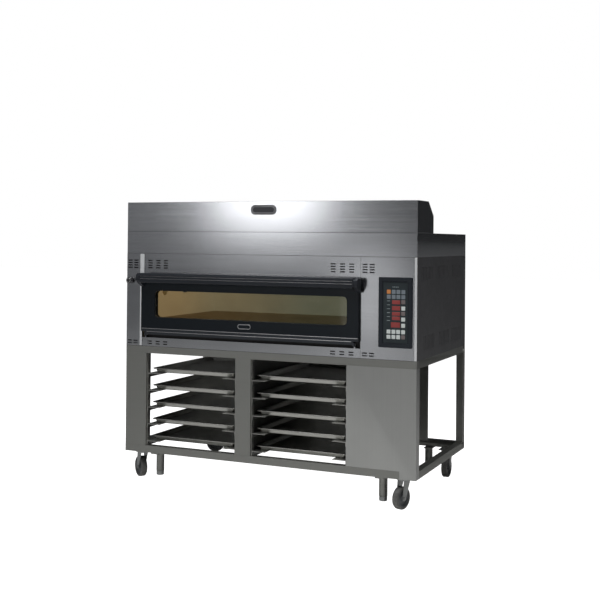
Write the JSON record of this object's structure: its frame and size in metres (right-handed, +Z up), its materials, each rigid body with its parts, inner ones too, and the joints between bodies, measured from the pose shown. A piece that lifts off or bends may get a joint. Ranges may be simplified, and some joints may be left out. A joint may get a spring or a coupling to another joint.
{
  "type": "deck oven",
  "caption": "Electric bakery deck oven with a bottom-hinged glazed door, a hood and a wheeled tray rack stand.",
  "frame": {"origin": "on the floor under the middle of the oven's overall box", "axes": "+X to the right seen from the front, +Y to the rear, +Z up; the door faces -Y"},
  "size_m": [1.65, 0.955, 1.499],
  "materials": {
    "stand_steel": "satin",
    "rack_steel": "satin",
    "caster_zinc": "zinc plated",
    "plain_steel": "mill finish",
    "body_steel": "brushed",
    "side_steel": "satin",
    "bezel_black": "satin",
    "keypad_film": "satin film",
    "electrical_plastic": "moulded",
    "chamber_steel": "heat tinted",
    "hearth_stone": "rough stone",
    "heater_alloy": "oxidised",
    "mineral_wool": "matt wool",
    "lamp_glass": "clear",
    "seal_rubber": "matt",
    "badge_dark": "satin with a polished rim",
    "door_metal": "satin",
    "door_black": "gloss",
    "door_glass": "clear",
    "handle_black": "satin",
    "knob_black": "satin",
    "tray_steel": "worn satin",
    "wheel_rubber": "matt"
  },
  "bodies": {
    "oven": {"stand_frame": "stand_steel", "stand_left_column": "stand_steel", "stand_centre_post": "stand_steel", "stand_right_panel": "stand_steel", "centre_partition": "stand_steel", "service_partition": "stand_steel", "tray_rack_left": "rack_steel", "tray_rack_right": "rack_steel", "caster_plates": "caster_zinc", "base_pan": "plain_steel", "left_side_panel": "body_steel", "right_side_panel": "side_steel", "rear_panel": "plain_steel", "top_panel": "plain_steel", "left_pillar": "body_steel", "upper_fascia": "body_steel", "lower_fascia": "body_steel", "control_column": "body_steel", "control_bezel": "bezel_black", "keypad_panel": "keypad_film", "electrical_parts": "electrical_plastic", "baking_chamber": "chamber_steel", "hearth_stones": "hearth_stone", "heating_elements": "heater_alloy", "insulation": "mineral_wool", "chamber_lamp": "lamp_glass", "steam_duct": "plain_steel", "door_seal": "seal_rubber", "hood_collar": "body_steel", "hood_box": "body_steel", "hood_badge": "badge_dark"},
    "door": {"door_frame": "door_metal", "door_front_panel": "door_black", "door_glass": "door_glass", "handle_bar": "handle_black", "handle_brackets": "handle_black", "hinge_pins": "caster_zinc"},
    "damper": {"damper": "knob_black"},
    "tray_left_1": {"baking_tray_left_1": "tray_steel"},
    "tray_left_2": {"baking_tray_left_2": "tray_steel"},
    "tray_left_3": {"baking_tray_left_3": "tray_steel"},
    "tray_left_4": {"baking_tray_left_4": "tray_steel"},
    "tray_left_5": {"baking_tray_left_5": "tray_steel"},
    "tray_right_1": {"baking_tray_right_1": "tray_steel"},
    "tray_right_2": {"baking_tray_right_2": "tray_steel"},
    "tray_right_3": {"baking_tray_right_3": "tray_steel"},
    "tray_right_4": {"baking_tray_right_4": "tray_steel"},
    "tray_right_5": {"baking_tray_right_5": "tray_steel"},
    "caster_fl": {"caster_fork_fl": "caster_zinc"},
    "wheel_fl": {"caster_wheel_fl": "wheel_rubber"},
    "foot_fl": {"screw_foot_fl": "caster_zinc"},
    "caster_fr": {"caster_fork_fr": "caster_zinc"},
    "wheel_fr": {"caster_wheel_fr": "wheel_rubber"},
    "foot_fr": {"screw_foot_fr": "caster_zinc"},
    "caster_rl": {"caster_fork_rl": "caster_zinc"},
    "wheel_rl": {"caster_wheel_rl": "wheel_rubber"},
    "foot_rl": {"screw_foot_rl": "caster_zinc"},
    "caster_rr": {"caster_fork_rr": "caster_zinc"},
    "wheel_rr": {"caster_wheel_rr": "wheel_rubber"},
    "foot_rr": {"screw_foot_rr": "caster_zinc"}
  },
  "joints": [
    {"name": "door_hinge", "type": "hinge", "parent": "oven", "child": "door", "pos_m": [-0.095, -0.4155, 0.79], "axis": [1, 0, 0], "range_deg": [0, 88]},
    {"name": "damper_slide", "type": "slide", "parent": "oven", "child": "damper", "axis": [0, -1, 0], "range_m": [0, 0.04]},
    {"name": "tray_left_1_slide", "type": "slide", "parent": "oven", "child": "tray_left_1", "axis": [0, -1, 0], "range_m": [0, 0.5]},
    {"name": "tray_left_2_slide", "type": "slide", "parent": "oven", "child": "tray_left_2", "axis": [0, -1, 0], "range_m": [0, 0.5]},
    {"name": "tray_left_3_slide", "type": "slide", "parent": "oven", "child": "tray_left_3", "axis": [0, -1, 0], "range_m": [0, 0.5]},
    {"name": "tray_left_4_slide", "type": "slide", "parent": "oven", "child": "tray_left_4", "axis": [0, -1, 0], "range_m": [0, 0.5]},
    {"name": "tray_left_5_slide", "type": "slide", "parent": "oven", "child": "tray_left_5", "axis": [0, -1, 0], "range_m": [0, 0.5]},
    {"name": "tray_right_1_slide", "type": "slide", "parent": "oven", "child": "tray_right_1", "axis": [0, -1, 0], "range_m": [0, 0.5]},
    {"name": "tray_right_2_slide", "type": "slide", "parent": "oven", "child": "tray_right_2", "axis": [0, -1, 0], "range_m": [0, 0.5]},
    {"name": "tray_right_3_slide", "type": "slide", "parent": "oven", "child": "tray_right_3", "axis": [0, -1, 0], "range_m": [0, 0.5]},
    {"name": "tray_right_4_slide", "type": "slide", "parent": "oven", "child": "tray_right_4", "axis": [0, -1, 0], "range_m": [0, 0.5]},
    {"name": "tray_right_5_slide", "type": "slide", "parent": "oven", "child": "tray_right_5", "axis": [0, -1, 0], "range_m": [0, 0.5]},
    {"name": "caster_fl_swivel", "type": "hinge", "parent": "oven", "child": "caster_fl", "pos_m": [-0.749, -0.3475, 0.14], "axis": [0, 0, 1], "continuous": true},
    {"name": "wheel_fl_spin", "type": "hinge", "parent": "caster_fl", "child": "wheel_fl", "pos_m": [-0.77194, -0.33144, 0.055], "axis": [-0.5736, -0.8192, 0], "continuous": true},
    {"name": "foot_fl_screw", "type": "slide", "parent": "oven", "child": "foot_fl", "axis": [0, 0, -1], "range_m": [0, 0.025]},
    {"name": "caster_fr_swivel", "type": "hinge", "parent": "oven", "child": "caster_fr", "pos_m": [0.749, -0.3475, 0.14], "axis": [0, 0, 1], "continuous": true},
    {"name": "wheel_fr_spin", "type": "hinge", "parent": "caster_fr", "child": "wheel_fr", "pos_m": [0.74035, -0.37413, 0.055], "axis": [0.9511, -0.309, 0], "continuous": true},
    {"name": "foot_fr_screw", "type": "slide", "parent": "oven", "child": "foot_fr", "axis": [0, 0, -1], "range_m": [0, 0.025]},
    {"name": "caster_rl_swivel", "type": "hinge", "parent": "oven", "child": "caster_rl", "pos_m": [-0.749, 0.4175, 0.14], "axis": [0, 0, 1], "continuous": true},
    {"name": "wheel_rl_spin", "type": "hinge", "parent": "caster_rl", "child": "wheel_rl", "pos_m": [-0.72451, 0.43107, 0.055], "axis": [-0.4848, 0.8746, 0], "continuous": true},
    {"name": "foot_rl_screw", "type": "slide", "parent": "oven", "child": "foot_rl", "axis": [0, 0, -1], "range_m": [0, 0.025]},
    {"name": "caster_rr_swivel", "type": "hinge", "parent": "oven", "child": "caster_rr", "pos_m": [0.749, 0.4175, 0.14], "axis": [0, 0, 1], "continuous": true},
    {"name": "wheel_rr_spin", "type": "hinge", "parent": "caster_rr", "child": "wheel_rr", "pos_m": [0.749, 0.3895, 0.055], "axis": [1, 0, 0], "continuous": true},
    {"name": "foot_rr_screw", "type": "slide", "parent": "oven", "child": "foot_rr", "axis": [0, 0, -1], "range_m": [0, 0.025]}
  ]
}
